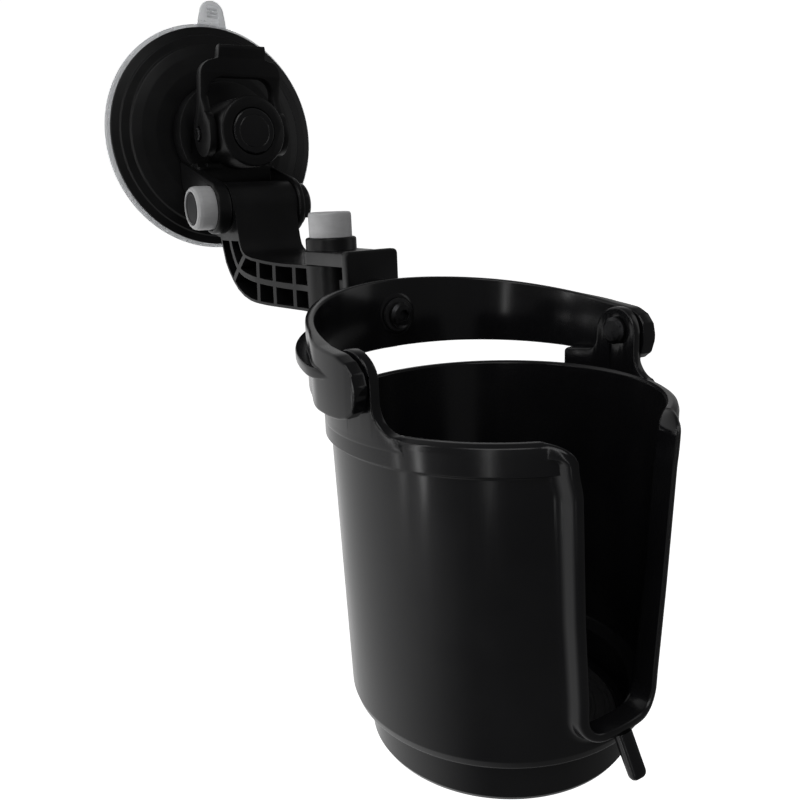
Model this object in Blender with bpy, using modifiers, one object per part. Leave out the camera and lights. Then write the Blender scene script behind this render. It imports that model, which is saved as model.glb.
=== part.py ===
"""A drink holder that hangs from a lever-locked suction cup.

Metres, +Z up. The origin is the centre of the pad's glass face and +Y points into the glass.
The cup hangs on the -Y side. Every solid is built in millimetres and scaled once at the end.
The Y dimensions count from a plane 5 mm behind the glass face, and GLASS_Y is that face in them.
"""
import math

import bmesh
import bpy

MM = 0.001
GLASS_Y = -5.0

# ---- Suction head ---------------------------------------------------------------------
PAD_R = 46.3
COVER_R = 44.75
TAB_ANGLE = 4.3
PIVOT_Y = -32.5
LOBE_Y = -36.0
LOBE_R = 9.0
LEVER_HALF = 16.9
CHEEK_IN = 13.9
FOOT_R = 21.5
BOSS_R = 13.5
BOSS_FACE_Y = -48.3

# ---- Upper joint (axis along X) -------------------------------------------------------
TILT_Y = -44.5
TILT_Z = -28.6
EAR_R = 11.0
LEFT_EAR_R = 10.2
BARREL_HALF = 14.0
ARM_HALF = 13.3
TILT_BARREL_R = 9.6

# ---- Lower joint (axis along Z) -------------------------------------------------------
SWING_Y = -105.2
SWING_R = 9.0
ARM_TOP_Z = -49.0
ARM_LOW_Z = -65.2

# ---- Bracket, ring and cup ------------------------------------------------------------
PLATE_Y = -132.2
RING_Z = -62.9
CUP_Y = -193.5
RIM_Z = -80.0
RING_IN = 48.4
RING_OUT = 50.9
CUP_PIVOT_Y = CUP_Y - 2.2
CUP_PIVOT_Z = RIM_Z + 12.3
SLOT_FLOOR = RIM_Z - 76.0


# ---- Helpers --------------------------------------------------------------------------
def clear_scene():
    for obj in list(bpy.data.objects):
        bpy.data.objects.remove(obj)


def make_collection(name, hidden=False):
    made = bpy.data.collections.new(name)
    bpy.context.scene.collection.children.link(made)
    made.hide_render = hidden
    return made


def make_material(name, colour, rough, metal=0.0, alpha=1.0):
    made = bpy.data.materials.new(name)
    made.use_nodes = True
    shader = made.node_tree.nodes["Principled BSDF"]
    shader.inputs["Base Color"].default_value = (*colour, 1.0)
    shader.inputs["Roughness"].default_value = rough
    shader.inputs["Metallic"].default_value = metal
    shader.inputs["Alpha"].default_value = alpha
    made.diffuse_color = (*colour, 1.0)
    return made


def add_object(name, verts, faces, edges=(), plane=GLASS_Y):
    """A mesh object from millimetres. The plane is the Y that becomes 0."""
    mesh = bpy.data.meshes.new(name)
    mesh.from_pydata([(x * MM, (y - plane) * MM, z * MM) for x, y, z in verts], list(edges), list(faces))
    mesh.update()
    return bpy.data.objects.new(name, mesh)


def place(axis, u, v, w):
    """A point from its place along the axis (w) and its two other coordinates, in X, Y, Z order."""
    return {"X": (w, u, v), "Y": (u, w, v), "Z": (u, v, w)}[axis]


def signed_area(points):
    total = 0.0
    for (ax, ay), (bx, by) in zip(points, points[1:] + points[:1]):
        total += ax * by - bx * ay
    return total / 2


def prism(name, axis, outline, low, high):
    """An outline swept from low to high along an axis, facing out."""
    outline = list(outline)
    if (signed_area(outline) < 0) != (axis == "Y"):
        outline.reverse()
    n = len(outline)
    verts = [place(axis, u, v, low) for u, v in outline]
    verts += [place(axis, u, v, high) for u, v in outline]
    faces = [tuple(range(n - 1, -1, -1)), tuple(range(n, 2 * n))]
    faces += [(i, (i + 1) % n, n + (i + 1) % n, n + i) for i in range(n)]
    return add_object(name, verts, faces)


def circle(cu, cv, radius, count=40, start=0.0, end=360.0):
    """Points on a circle, or on an arc when the ends are given."""
    whole = abs(end - start) >= 360.0
    steps = count if whole else count - 1
    points = []
    for i in range(count):
        angle = math.radians(start + (end - start) * i / steps)
        points.append((cu + radius * math.cos(angle), cv + radius * math.sin(angle)))
    return points


def rounded_box(u0, v0, u1, v1, radius, count=6):
    points = []
    for cu, cv, start in (
        (u1 - radius, v0 + radius, -90),
        (u1 - radius, v1 - radius, 0),
        (u0 + radius, v1 - radius, 90),
        (u0 + radius, v0 + radius, 180),
    ):
        points += circle(cu, cv, radius, count, start, start + 90)
    return points


def hull(points):
    """The convex outline round a set of points."""
    points = sorted(set(points))

    def half(ordered):
        chain = []
        for p in ordered:
            while len(chain) > 1:
                (ax, ay), (bx, by) = chain[-2], chain[-1]
                if (bx - ax) * (p[1] - ay) - (by - ay) * (p[0] - ax) > 0:
                    break
                chain.pop()
            chain.append(p)
        return chain[:-1]

    return half(points) + half(points[::-1])


def rod(name, axis, cu, cv, radius, low, high, count=40):
    return prism(name, axis, circle(cu, cv, radius, count), low, high)


def lathe(name, axis, centre, profile, steps, closed=False):
    """A profile of (radius, height) turned about an axis through the centre."""
    points = list(profile)
    verts = [(r, 0.0, h) for r, h in points]
    edges = [(i, i + 1) for i in range(len(points) - 1)]
    if closed:
        edges.append((len(points) - 1, 0))
    obj = add_object(name, verts, (), edges, 0.0)
    screw = obj.modifiers.new("turn", "SCREW")
    screw.steps = steps
    screw.render_steps = steps
    screw.use_merge_vertices = True
    screw.merge_threshold = 0.00001
    screw.use_smooth_shade = False
    bpy.context.scene.collection.objects.link(obj)
    bpy.context.view_layer.update()
    graph = bpy.context.evaluated_depsgraph_get()
    mesh = bpy.data.meshes.new_from_object(obj.evaluated_get(graph))
    bpy.data.objects.remove(obj)
    face_out(mesh)
    for vertex in mesh.vertices:
        x, y, z = vertex.co
        if axis == "X":
            x, y, z = z, x, y
        elif axis == "Y":
            x, y, z = y, z, x
        vertex.co = (x + centre[0] * MM, y + (centre[1] - GLASS_Y) * MM, z + centre[2] * MM)
    mesh.update()
    face_out(mesh)
    return bpy.data.objects.new(name, mesh)


def face_out(mesh):
    """Turns the faces outwards."""
    work = bmesh.new()
    work.from_mesh(mesh)
    bmesh.ops.remove_doubles(work, verts=work.verts, dist=1e-7)
    bmesh.ops.recalc_face_normals(work, faces=work.faces)
    if work.calc_volume(signed=True) < 0:
        bmesh.ops.reverse_faces(work, faces=work.faces)
    work.to_mesh(mesh)
    work.free()


def combine(target, cutter, operation):
    """A Boolean on the target. The cutter goes to the hidden collection."""
    CUTTERS.objects.link(cutter)
    cutter.hide_render = True
    cutter.display_type = "WIRE"
    boolean = target.modifiers.new(operation.lower(), "BOOLEAN")
    boolean.operation = operation
    boolean.solver = "EXACT"
    boolean.object = cutter


def union(target, *others):
    for other in others:
        combine(target, other, "UNION")


def cut(target, *others):
    for other in others:
        combine(target, other, "DIFFERENCE")


def keep(target, *others):
    for other in others:
        combine(target, other, "INTERSECT")


def soften(obj, width, segments=2, angle=40.0):
    """Rounds the sharp edges."""
    bevel = obj.modifiers.new("soften", "BEVEL")
    bevel.width = width * MM
    bevel.segments = segments
    bevel.limit_method = "ANGLE"
    bevel.angle_limit = math.radians(angle)
    bevel.use_clamp_overlap = True


def finish(obj, material):
    """Gives the node its material and its own collection."""
    obj.data.materials.clear()
    obj.data.materials.append(material)
    make_collection(obj.name + "_set").objects.link(obj)


def inset(outline, distance):
    """The outline moved inwards by a distance, edge by edge."""
    points = list(outline)
    if signed_area(points) < 0:
        points.reverse()
    moved = []
    n = len(points)
    for i in range(n):
        (ax, ay), (bx, by), (cx, cy) = points[i - 1], points[i], points[(i + 1) % n]
        d1 = math.hypot(bx - ax, by - ay)
        d2 = math.hypot(cx - bx, cy - by)
        n1 = (-(by - ay) / d1, (bx - ax) / d1)
        n2 = (-(cy - by) / d2, (cx - bx) / d2)
        mx, my = n1[0] + n2[0], n1[1] + n2[1]
        scale = 2 / max(mx * mx + my * my, 0.5)
        moved.append((bx + mx * scale * distance, by + my * scale * distance))
    return moved


def spring(name, axis, cu, cv, radius, wire, low, high, turns, material):
    """A coil spring: a round wire along a helix."""
    curve = bpy.data.curves.new(name, "CURVE")
    curve.dimensions = "3D"
    curve.bevel_depth = wire * MM
    curve.bevel_resolution = 0
    curve.use_fill_caps = True
    line = curve.splines.new("POLY")
    count = turns * 8 + 1
    line.points.add(count - 1)
    for i in range(count):
        angle = 2 * math.pi * i / 8
        w = low + wire + (high - low - 2 * wire) * i / (count - 1)
        u = cu + radius * math.cos(angle)
        v = cv + radius * math.sin(angle)
        x, y, z = place(axis, u, v, w)
        line.points[i].co = (x * MM, (y - GLASS_Y) * MM, z * MM, 1.0)
    guide = bpy.data.objects.new(name + "_guide", curve)
    bpy.context.scene.collection.objects.link(guide)
    bpy.context.view_layer.update()
    graph = bpy.context.evaluated_depsgraph_get()
    mesh = bpy.data.meshes.new_from_object(guide.evaluated_get(graph))
    bpy.data.objects.remove(guide)
    face_out(mesh)
    finish(bpy.data.objects.new(name, mesh), material)


def gear_outline(cu, cv, inner, outer, teeth):
    points = []
    for i in range(teeth):
        for part, radius in ((0.0, inner), (0.28, inner), (0.42, outer), (0.86, outer)):
            angle = 2 * math.pi * (i + part) / teeth
            points.append((cu + radius * math.cos(angle), cv + radius * math.sin(angle)))
    return points


# ---- Suction head ---------------------------------------------------------------------
def suction_pad(material):
    """Flat on the glass, with a boss that holds the stem and a pull tab on the edge."""
    pad = lathe(
        "suction_pad",
        "Y",
        (0, 0, 0),
        [
            (0, -5.0),
            (PAD_R - 0.8, -5.0),
            (PAD_R, -5.6),
            (PAD_R, -6.2),
            (PAD_R - 1.4, -7.0),
            (36, -7.4),
            (18, -9.0),
            (13, -11.0),
            (12, -13.0),
            (4.7, -13.0),
            (4.7, -12.0),
            (8.4, -12.0),
            (8.4, -7.6),
            (0, -7.6),
        ],
        52,
    )
    angle = math.radians(90 - TAB_ANGLE)
    ca, sa = math.cos(angle), math.sin(angle)
    flat = [(42.0, -6.8), (48.0, -5.9)]
    flat += circle(50.6, 0.0, 5.3, 9, -72, 72)
    flat += [(48.0, 5.9), (42.0, 6.8)]
    outline = [(u * ca - v * sa, u * sa + v * ca) for u, v in flat]
    union(pad, prism("pad_tab", "Y", outline, -6.8, -5.4))
    finish(pad, material)


def pad_stem(material):
    """The disc held in the pad and the rod that the lever's pin passes through."""
    stem = lathe(
        "pad_stem",
        "Y",
        (0, 0, 0),
        [(0, -9.5), (8.0, -9.5), (8.0, -11.7), (4.1, -11.7), (4.1, -38.6), (3.5, -39.4), (0, -39.4)],
        32,
    )
    slot = hull(circle(PIVOT_Y, 0, 2.9, 24) + circle(PIVOT_Y - 1.6, 0, 2.9, 24))
    cut(stem, prism("stem_slot", "X", slot, -6, 6))
    finish(stem, material)


def cover_dish(material):
    """Two stepped bands at the rim, then a smooth dome with a flat top and a hole for the stem."""
    profile = [
        (42.6, -7.6),
        (COVER_R, -7.6),
        (COVER_R, -9.0),
        (41.6, -9.9),
        (41.1, -10.7),
        (37.9, -11.3),
        (37.3, -12.3),
        (33.5, -13.5),
        (28.0, -14.7),
        (22.5, -15.3),
        (5.0, -15.3),
        (5.0, -13.4),
        (23.0, -13.3),
        (31.0, -12.0),
        (36.0, -10.3),
    ]
    finish(lathe("cover_dish", "Y", (0, 0, 0), profile, 60, closed=True), material)


def hub_block(material):
    """Foot, boss, and the two ears of the tilt joint, in one casting."""
    hub = rod("hub_block", "Y", 0, 0, FOOT_R, -24.0, -15.7, 44)
    boss = rod("hub_boss", "Y", 0, 0, BOSS_R, BOSS_FACE_Y, -20, 44)
    soften(boss, 1.0, 2)
    root = [(-16.0, -9.5), (-16.0, -20.5), (-24.0, -13.4), (-22.0, -25.0)]
    left_side = hull(root + circle(TILT_Y, TILT_Z, LEFT_EAR_R, 40))
    left = prism("hub_ear_left", "X", left_side, -20.0, -14.3)
    soften(left, 0.6, 1, 60)
    right_side = hull(root + circle(TILT_Y, TILT_Z, EAR_R, 40))
    right = prism("hub_ear_right", "X", right_side, 14.3, 17.0)
    soften(right, 0.6, 1, 60)
    web = prism("hub_web", "Z", rounded_box(-17.5, -30.0, 16.2, -16.2, 1.0), -22.5, -11.0)
    union(hub, boss, left, right, web)
    bore = rod("hub_bore", "Y", 0, 0, 4.7, -41.5, -10, 24)
    pin = rod("hub_pin_hole", "X", PIVOT_Y, 0, 2.9, -30, 30, 20)
    seat = rod("hub_cap_seat", "Y", 0, 0, 8.9, -60, -46.8, 32)
    button = rod("hub_button_bore", "X", TILT_Y, TILT_Z, 8.7, -30, -10, 36)
    axle = rod("hub_axle_hole", "X", TILT_Y, TILT_Z, 3.3, 5, 30, 28)
    cut(hub, bore, pin, seat, button, axle)
    for tag, low, high in (("left", -17.3, -13.5), ("right", 13.5, 17.3)):
        cut(hub, rod(f"hub_cradle_{tag}", "X", -32.8, -3.5, 9.5, low, high, 44))
    finish(hub, material)


def boss_cap(material):
    cap = lathe(
        "boss_cap",
        "Y",
        (0, 0, 0),
        [(0, -47.1), (8.6, -47.1), (8.6, -48.6), (8.1, -49.0), (0, -49.3)],
        40,
    )
    finish(cap, material)


def cam_lever(material):
    """A U round the boss: two cheeks with round cams, a cross plate, and a raised thumb tab."""
    bar = [
        (-28.6, 3.0),
        (-32.9, 11.5),
        (-36.6, 24.0),
        (-38.4, 29.2),
        (-40.2, 31.9),
        (-43.2, 32.3),
        (-43.6, 31.0),
        (-42.4, 28.0),
        (-41.0, 24.0),
        (-38.4, 13.5),
        (-41.5, 5.0),
    ]
    lever = prism("cam_lever", "X", bar, -LEVER_HALF, LEVER_HALF)
    lobe = rod("lever_lobe", "X", LOBE_Y, 0, LOBE_R, -LEVER_HALF, LEVER_HALF, 48)
    union(lever, lobe)
    front = [(-LEVER_HALF, -12.0), (LEVER_HALF, -12.0)]
    front += circle(LEVER_HALF - 5.5, 21.5, 5.5, 6, 0, 85)
    front += [(9.8, 27.6), (9.6, 33.0), (-9.6, 33.0), (-9.8, 27.6)]
    front += circle(-LEVER_HALF + 5.5, 21.5, 5.5, 6, 95, 180)
    keep(lever, prism("lever_front", "Y", front, -60, -10))
    arch = [(-CHEEK_IN, -14.0), (CHEEK_IN, -14.0)]
    arch += circle(CHEEK_IN - 6.5, 14.4, 6.5, 8, 0, 90) + circle(6.5 - CHEEK_IN, 14.4, 6.5, 8, 90, 180)
    cut(lever, prism("lever_arch", "Y", arch, -62, -8))
    cut(lever, rod("lever_pin_hole", "X", PIVOT_Y, 0, 2.9, -30, 30, 28))
    finish(lever, material)


def lever_pin(material):
    pin = lathe(
        "lever_pin",
        "X",
        (0, PIVOT_Y, 0),
        [(0, 17.9), (2.2, 17.9), (2.6, 17.5), (2.6, -17.5), (2.2, -17.9), (0, -17.9)],
        24,
    )
    slot = prism("pin_slot", "X", rounded_box(PIVOT_Y - 0.4, -2.8, PIVOT_Y + 0.4, 2.8, 0.1, 2), -19, -17.3)
    cut(pin, slot)
    finish(pin, material)


# ---- Tilt joint -----------------------------------------------------------------------
def tilt_joint(button_mat, disc_mat, gear_mat, steel_mat, cap_mat):
    """Button, disc, gear, spring, axle and end cap on the level axis."""
    button = lathe(
        "tilt_button",
        "X",
        (0, TILT_Y, TILT_Z),
        [
            (0, -26.2),
            (6.5, -26.2),
            (6.5, -27.5),
            (7.3, -27.3),
            (8.1, -26.5),
            (8.4, -25.2),
            (8.4, -18.2),
            (6.6, -18.2),
            (6.6, -24.2),
            (0, -24.2),
        ],
        36,
    )
    finish(button, button_mat)
    disc = lathe(
        "tilt_button_disc",
        "X",
        (0, TILT_Y, TILT_Z),
        [(0, -27.3), (5.9, -27.3), (6.2, -27.1), (6.2, -26.5), (0, -26.5)],
        36,
    )
    finish(disc, disc_mat)
    gear = prism("tilt_lock_gear", "X", gear_outline(TILT_Y, TILT_Z, 6.7, 7.5, 16), -17.9, -8.0)
    cut(gear, rod("tilt_gear_bore", "X", TILT_Y, TILT_Z, 3.5, -20, -5, 28))
    finish(gear, gear_mat)
    spring("tilt_spring", "X", TILT_Y, TILT_Z, 5.6, 0.6, -7.6, 4.4, 6, steel_mat)
    axle = lathe(
        "tilt_axle",
        "X",
        (0, TILT_Y, TILT_Z),
        [(0, 19.2), (4.6, 19.2), (5.0, 18.8), (5.0, 17.4)]
        + [(3.0, 17.4), (3.0, -11.6), (2.6, -12.0), (0, -12.0)],
        28,
    )
    finish(axle, steel_mat)
    cap = lathe(
        "tilt_end_cap",
        "X",
        (0, TILT_Y, TILT_Z),
        [(0, 21.4), (7.2, 21.4), (8.6, 20.2), (8.8, 17.3), (5.4, 17.3), (5.4, 19.5), (0, 19.5)],
        40,
    )
    step = rounded_box(18.6, TILT_Y - 12, 26, TILT_Y + 12, 0.5, 2)
    cut(cap, prism("cap_step", "Z", step, TILT_Z - 12, TILT_Z - 5.6))
    finish(cap, cap_mat)


# ---- Arm ------------------------------------------------------------------------------
OUTER_LINE = [
    [(-36.9, -40.6), (-37.9, -44.5), (-40.0, -50.6), (-42.9, -54.4), (-46.4, -57.8)],
    [(-50.5, -60.7), (-56.0, -63.0), (-62.0, -64.3), (-69.0, -64.9)],
    [(-75.0, -65.15), (-80.6, -65.2)],
    [(-87.0, -65.2), (-93.9, -65.2)],
    [(-99.0, -65.2), (-104.6, -65.2)],
]
MIDDLE_LINE = [
    [(-46.2, -40.6), (-47.2, -44.2), (-48.9, -47.8), (-50.6, -50.4), (-52.6, -52.3)],
    [(-55.0, -53.5), (-58.5, -54.5), (-63.5, -55.3), (-69.8, -56.0)],
    [(-75.0, -56.4), (-81.0, -56.7)],
    [(-87.5, -56.9), (-94.2, -57.0)],
    [(-99.0, -57.0), (-104.6, -57.0)],
]
INNER_LINE = [
    [(-55.6, -40.6), (-55.9, -42.0), (-56.8, -44.2), (-58.2, -45.6), (-60.2, -46.6)],
    [(-61.8, -47.0), (-64.5, -47.4), (-67.0, -47.7), (-70.4, -48.0)],
    [(-76.0, -48.5), (-81.5, -48.8)],
    [(-88.0, -49.0), (-94.6, -49.0)],
    [(-99.0, -49.0), (-104.6, -49.0)],
]


def flat_line(line):
    return [point for part in line for point in part]


def cell(first, second, index):
    """The outline between two lines, from one rib to the next."""
    start_a = [first[index - 1][-1]] if index else []
    start_b = [second[index - 1][-1]] if index else []
    near = start_a + first[index]
    far = start_b + second[index]
    return near + far[::-1]


def j_arm(material):
    """A J in side view, ribbed on both sides, with a barrel at each end."""
    side = [(TILT_Y, TILT_Z), (TILT_Y + 9.4, TILT_Z), (-35.2, -36.8), (-30.6, -37.4), (-31.4, -39.6)]
    side += flat_line(OUTER_LINE)
    side += [(SWING_Y, ARM_LOW_Z), (SWING_Y, ARM_TOP_Z)]
    side += flat_line(INNER_LINE)[::-1]
    side += [(-55.2, -38.6), (TILT_Y - 9.4, TILT_Z)]
    arm = prism("j_arm", "X", side, -ARM_HALF, ARM_HALF)
    plan = [
        (-ARM_HALF - 0.5, -30.0),
        (-ARM_HALF - 0.5, -62.0),
        (-SWING_R - 0.35, -99.0),
        (-SWING_R - 0.35, -112.0),
        (SWING_R + 0.35, -112.0),
        (SWING_R + 0.35, -99.0),
        (ARM_HALF + 0.5, -62.0),
        (ARM_HALF + 0.5, -30.0),
    ]
    keep(arm, prism("arm_plan", "Z", plan, -80, 0))
    for number, (first, second) in enumerate(((OUTER_LINE, MIDDLE_LINE), (MIDDLE_LINE, INNER_LINE))):
        for index in range(5):
            pocket = inset(cell(first, second, index), 1.05)
            for tag, low, high in (("a", -20, -1.3), ("b", 1.3, 20)):
                cut(arm, prism(f"pocket_{number}_{index}_{tag}", "X", pocket, low, high))
    barrel = rod("arm_tilt_barrel", "X", TILT_Y, TILT_Z, TILT_BARREL_R, -BARREL_HALF, BARREL_HALF, 52)
    swing = rod("arm_swing_barrel", "Z", 0, SWING_Y, SWING_R + 0.35, ARM_LOW_Z, ARM_TOP_Z, 48)
    union(arm, barrel, swing)
    cut(
        arm,
        rod("arm_gear_bore", "X", TILT_Y, TILT_Z, 7.9, -20, 5.0, 40),
        rod("arm_axle_bore", "X", TILT_Y, TILT_Z, 3.3, -20, 20, 28),
        rod("arm_low_gear_bore", "Z", 0, SWING_Y, 7.1, -60.5, -40, 40),
        rod("arm_low_axle_bore", "Z", 0, SWING_Y, 2.9, -70, -40, 28),
    )
    finish(arm, material)


# ---- Swing joint ----------------------------------------------------------------------
def swing_joint(button_mat, disc_mat, gear_mat, steel_mat):
    """Button, disc, gear, spring and axle on the upright axis."""
    button = lathe(
        "swing_button",
        "Z",
        (0, SWING_Y, 0),
        [
            (0, -32.2),
            (5.8, -32.2),
            (5.8, -31.1),
            (6.9, -31.2),
            (7.4, -31.7),
            (7.5, -32.6),
            (7.5, -41.4),
            (6.0, -41.4),
            (6.0, -33.9),
            (0, -33.9),
        ],
        36,
    )
    finish(button, button_mat)
    disc = lathe(
        "swing_button_disc",
        "Z",
        (0, SWING_Y, 0),
        [(0, -31.3), (5.3, -31.3), (5.5, -31.5), (5.5, -31.9), (0, -31.9)],
        36,
    )
    finish(disc, disc_mat)
    gear = prism("swing_lock_gear", "Z", gear_outline(0, SWING_Y, 5.9, 6.7, 14), -52.4, -41.9)
    cut(gear, rod("swing_gear_bore", "Z", 0, SWING_Y, 3.2, -60, -35, 28))
    finish(gear, gear_mat)
    spring("swing_spring", "Z", 0, SWING_Y, 5.0, 0.55, -60.1, -52.8, 4, steel_mat)
    axle = lathe(
        "swing_axle",
        "Z",
        (0, SWING_Y, 0),
        [(0, -44.6), (2.2, -44.6), (2.6, -45.0), (2.6, -69.9)]
        + [(4.8, -69.9), (4.8, -71.4), (4.3, -71.9), (0, -71.9)],
        28,
    )
    finish(axle, steel_mat)


# ---- Bracket --------------------------------------------------------------------------
def link_bracket(material):
    """A fork round the arm's barrel, an upright plate, and the round boss that carries the ring."""
    plate_back = PLATE_Y + 3.5
    plate = rounded_box(-10.0, -76.2, 10.0, -43.3, 1.6, 5)
    bracket = prism("link_bracket", "Y", plate, PLATE_Y, plate_back)
    soften(bracket, 0.5, 1, 60)
    top = hull(circle(0, SWING_Y, 9.9, 44) + [(-8.6, PLATE_Y + 1.5), (8.6, PLATE_Y + 1.5)])
    low = hull(circle(0, SWING_Y, 8.5, 44) + [(-7.6, PLATE_Y + 1.5), (7.6, PLATE_Y + 1.5)])
    upper = prism("bracket_upper", "Z", top, -48.6, -44.1)
    lower = prism("bracket_lower", "Z", low, -69.5, -65.6)
    collar = rod("bracket_collar", "Z", 0, SWING_Y, 8.9, -46, -39.7, 44)
    soften(collar, 0.5, 1, 60)
    rib_a = prism("bracket_rib_a", "Z", rounded_box(-5.5, PLATE_Y + 1, 5.5, -118.2, 1.2, 4), -56.6, -53.2)
    rib_b = prism("bracket_rib_b", "Z", rounded_box(-5.5, PLATE_Y + 1, 5.5, -116.9, 1.2, 4), -61.4, -58.6)
    wall_side = [(-116.9, -66), (-118.4, -47), (PLATE_Y + 1, -47), (PLATE_Y + 1, -66)]
    wall = prism("bracket_wall", "X", wall_side, -1.6, 1.6)
    boss = rod("bracket_boss", "Y", 0, RING_Z, 10.4, -142.2, PLATE_Y + 1, 48)
    soften(boss, 0.7, 1, 60)
    union(bracket, upper, lower, collar, rib_a, rib_b, wall, boss)
    cut(
        bracket,
        rod("bracket_button_bore", "Z", 0, SWING_Y, 7.8, -55, -30, 44),
        rod("bracket_axle_bore", "Z", 0, SWING_Y, 2.9, -75, -62, 28),
        rod("bracket_insert_bore", "Y", 0, RING_Z, 5.1, -150, -132.6, 32),
    )
    finish(bracket, material)


def ring_mount(insert_mat, bolt_mat, washer_mat):
    """Threaded insert in the boss, the bolt, and the washer inside the ring."""
    insert = lathe(
        "ring_insert",
        "Y",
        (0, 0, RING_Z),
        [(2.9, -133.0), (4.8, -133.0), (4.8, -141.9), (2.9, -141.9)],
        28,
        closed=True,
    )
    finish(insert, insert_mat)
    bolt = lathe(
        "ring_bolt",
        "Y",
        (0, 0, RING_Z),
        [(0, -133.4), (2.6, -133.4), (2.6, -146.9), (4.1, -146.9)]
        + [(4.1, -148.2), (3.2, -149.1), (0, -149.5)],
        32,
    )
    hexagon = circle(0, RING_Z, 1.9, 6)
    cut(bolt, prism("bolt_socket", "Y", hexagon, -152, -148.0))
    finish(bolt, bolt_mat)
    washer = lathe(
        "ring_washer",
        "Y",
        (0, 0, RING_Z),
        [(2.9, -145.7), (5.2, -145.7), (5.2, -146.6), (2.9, -146.6)],
        36,
        closed=True,
    )
    finish(washer, washer_mat)


# ---- Ring -----------------------------------------------------------------------------
def tube(name, inner, outer, low, high, steps=84):
    profile = [(inner, low), (outer, low), (outer, high), (inner, high)]
    return lathe(name, "Z", (0, CUP_Y, 0), profile, steps, closed=True)


def from_cup(points):
    """Side-view points given from the cup's axis and rim, in the object's frame."""
    return [(y + CUP_Y, z + RIM_Z) for y, z in points]


def gimbal_ring(material):
    """Half a ring, tall at the back, with round thick ends and a rib along its outside."""
    end = [(0, 19.2), (-4, 18.7), (-7.4, 17.2), (-9.6, 14.8), (-10.3, 12)]
    end += [(-10.2, 8.6), (-9.2, 5.6), (-7, 3.9), (-4, 3.2), (0, 3.1)]
    band = end + [(10, 3.7), (20, 4.8), (31, 5.6), (40, 6.2), (46, 6.6), (56, 7.0)]
    band += [(56, 28.7), (51, 28.4), (47, 27.6), (38.6, 26.1), (27, 23.9), (18, 22.2), (10, 20.8), (4, 19.7)]
    ring = tube("gimbal_ring", RING_IN, RING_OUT, RIM_Z - 10, RIM_Z + 40)
    thick = tube("ring_pads", RING_IN + 0.6, 52.5, RIM_Z + 1, RIM_Z + 30)
    pad = end + [(6, 4.0), (11, 7.0), (12.5, 12.0), (11, 17.5), (6, 19.6)]
    keep(thick, prism("ring_pad_outline", "X", from_cup(pad), -70, 70))
    rib = tube("ring_rib", RING_IN + 0.6, 53.9, RIM_Z + 5, RIM_Z + 30)
    strip = [(-3, 11.6), (8, 11.9), (24, 13.6), (40, 15.4), (47, 16.1)]
    strip += [(47, 18.7), (40, 18.0), (24, 16.2), (8, 14.5), (-3, 13.8)]
    keep(rib, prism("ring_rib_outline", "X", from_cup(strip), -70, 70))
    keep(ring, prism("ring_outline", "X", from_cup(band), -70, 70))
    union(ring, thick, rib)
    cut(
        ring,
        rod("ring_bolt_hole", "Y", 0, RING_Z, 2.9, -160, -130, 28),
        rod("ring_left_bore", "X", CUP_PIVOT_Y, CUP_PIVOT_Z, 2.9, -51.0, -40, 28),
        rod("ring_right_bore", "X", CUP_PIVOT_Y, CUP_PIVOT_Z, 2.9, 40, 51.0, 28),
    )
    finish(ring, material)


# ---- Cup ------------------------------------------------------------------------------
def cup_profile():
    """From the middle of the floor, up the inside, over the rim, down the outside to the middle."""
    inside = [(0.0, -96.8), (35.0, -96.8), (36.5, -95.3), (36.9, -84.4)]
    inside += [(41.2, -83.2), (41.9, -81.0), (43.9, -0.6)]
    rim = [(44.5, 0.0), (45.7, 0.0), (46.9, -0.8), (47.3, -2.2), (47.3, -7.4)]
    outside = [(45.7, -8.3), (43.8, -83.0), (43.0, -85.4), (41.4, -86.3)]
    outside += [(38.9, -86.9), (38.4, -97.6), (37.2, -99.2), (36.2, -99.4), (0.0, -99.4)]
    return inside + rim + outside


def slot_outline(grow):
    """The handle slot in front view, open at the top. grow widens it all round."""
    half = [(22.8, 6.0), (22.8, 0.4), (19.6, -0.9), (17.6, -2.6), (16.1, -5.4), (15.3, -9.4)]
    half += [(14.5, -24.0), (13.4, -44.0), (11.6, -66.0)]
    corner = circle(11.4 - 5.2, SLOT_FLOOR - RIM_Z + 5.2, 5.2, 6, -8, -90)
    half += corner
    if grow:
        half = half[5:]
        half = [(x + grow, z - (grow if x < 9 else grow * 0.35)) for x, z in half]
        half = [(15.3 + grow, -0.8)] + half
    right = [(x, z + RIM_Z) for x, z in half]
    left = [(-x, z) for x, z in right]
    return right + left[::-1]


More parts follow.
